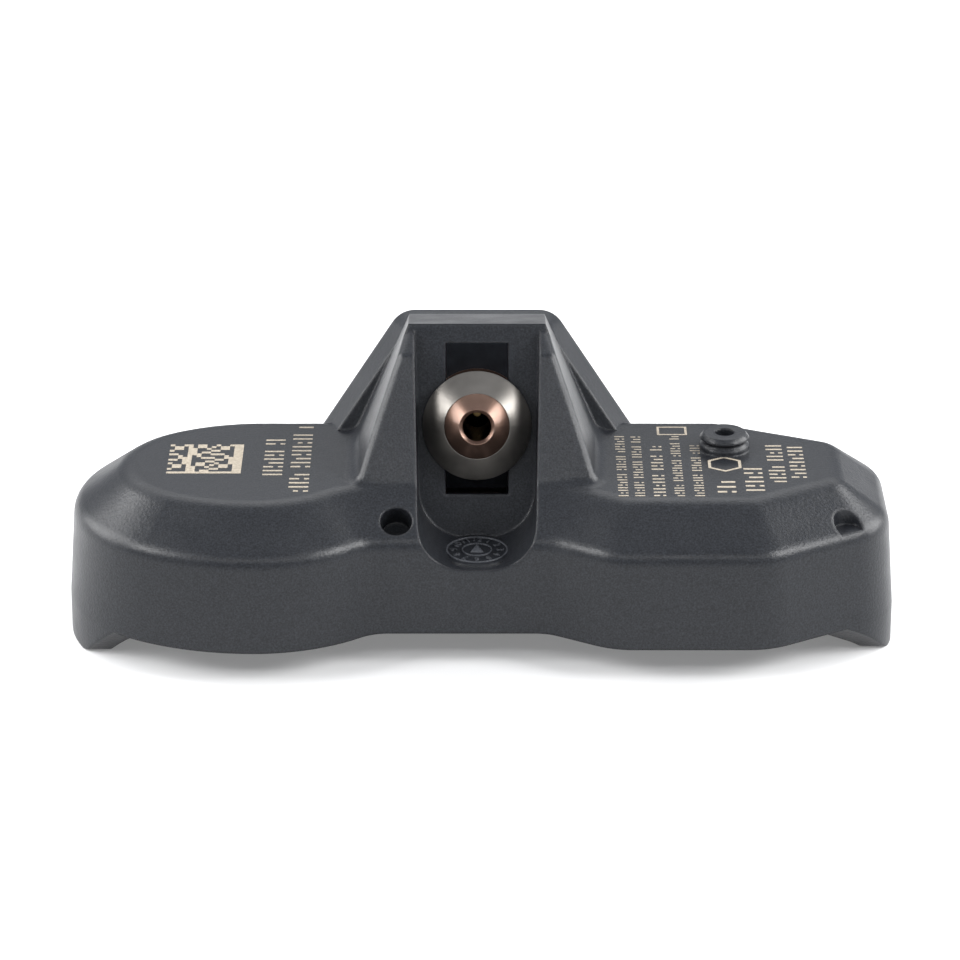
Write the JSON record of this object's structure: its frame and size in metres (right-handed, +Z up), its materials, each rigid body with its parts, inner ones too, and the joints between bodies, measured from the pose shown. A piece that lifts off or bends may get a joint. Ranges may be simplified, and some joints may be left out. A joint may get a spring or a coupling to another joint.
{
  "type": "tyre pressure sensor",
  "caption": "Wheel-mounted tyre pressure sensor: round battery lobe, angular electronics lobe and a leaning slotted tower whose ball seat holds a tilting clamp-in valve with nut and cap.",
  "frame": {"origin": "centre of the wheel's valve hole, on the valve axis where the rubber seal meets the inside of the rim", "axes": "+X along the housing towards the electronics lobe, +Z up away from the wheel rim's bed, +Y from the trough towards the valve's cap; the valve axis leans 20 degrees down from +Y"},
  "size_m": [0.076, 0.0567, 0.0281],
  "materials": {
    "housing_plastic": "black glass-filled plastic with a fine moulded grain",
    "plated_brass": "bright nickel plating",
    "black_rubber": "matt",
    "steel": "plain",
    "nut_aluminium": "satin",
    "core_brass": "machined",
    "cap_plastic": "moulded",
    "board_laminate": "solder mask",
    "chip_plastic": "moulded",
    "coil_ferrite": "fired",
    "antenna_copper": "bare",
    "capacitor_ceramic": "fired",
    "resin": "poured"
  },
  "bodies": {
    "sensor": {"housing": "housing_plastic", "potting": "resin", "battery_cell": "steel", "battery_lower_tab": "steel", "battery_upper_tab": "steel", "circuit_board": "board_laminate", "pressure_chip": "chip_plastic", "port_gasket": "black_rubber", "transmitter_chip": "chip_plastic", "timing_crystal": "steel", "wake_coil": "coil_ferrite", "antenna_loop": "antenna_copper", "chip_capacitors": "capacitor_ceramic"},
    "valve": {"valve_stem": "plated_brass", "seat_collar": "plated_brass", "rubber_seal": "black_rubber", "valve_core_body": "core_brass", "valve_core_gasket": "black_rubber", "valve_core_spring": "steel"},
    "core_pin": {"valve_core_pin": "core_brass", "valve_core_plug": "black_rubber"},
    "washer": {"clamp_washer": "steel"},
    "nut": {"union_nut": "nut_aluminium"},
    "cap_liner": {"cap_seal": "black_rubber"},
    "cap": {"valve_cap": "cap_plastic"}
  },
  "joints": [
    {"name": "valve_tilt", "type": "hinge", "parent": "sensor", "child": "valve", "pos_m": [0, -0.01926, 0.00701], "axis": [1, 0, 0], "range_deg": [-10, 10]},
    {"name": "core_press", "type": "slide", "parent": "valve", "child": "core_pin", "axis": [0, -0.9397, 0.342], "range_m": [0, 0.0012], "stiffness_N_per_m": 500, "springref_m": -0.001, "deforming": ["valve_core_spring"]},
    {"name": "washer_slide", "type": "slide", "parent": "valve", "child": "washer", "axis": [0, 0.9397, -0.342], "range_m": [-0.001, 0.005]},
    {"name": "nut_spin", "type": "hinge", "parent": "washer", "child": "nut", "pos_m": [0, 0, 0], "axis": [0, 0.9397, -0.342], "range_deg": [-460, 2280]},
    {"name": "cap_slide", "type": "slide", "parent": "valve", "child": "cap_liner", "axis": [0, 0.9397, -0.342], "range_m": [0, 0.0085]},
    {"name": "cap_spin", "type": "hinge", "parent": "cap_liner", "child": "cap", "pos_m": [0, 0, 0], "axis": [0, 0.9397, -0.342], "range_deg": [0, 3870]}
  ],
  "couplings": [
    {"joint": "nut_spin", "follows": "washer_slide", "rad_per_m": 7913},
    {"joint": "cap_spin", "follows": "cap_slide", "rad_per_m": 7913}
  ]
}
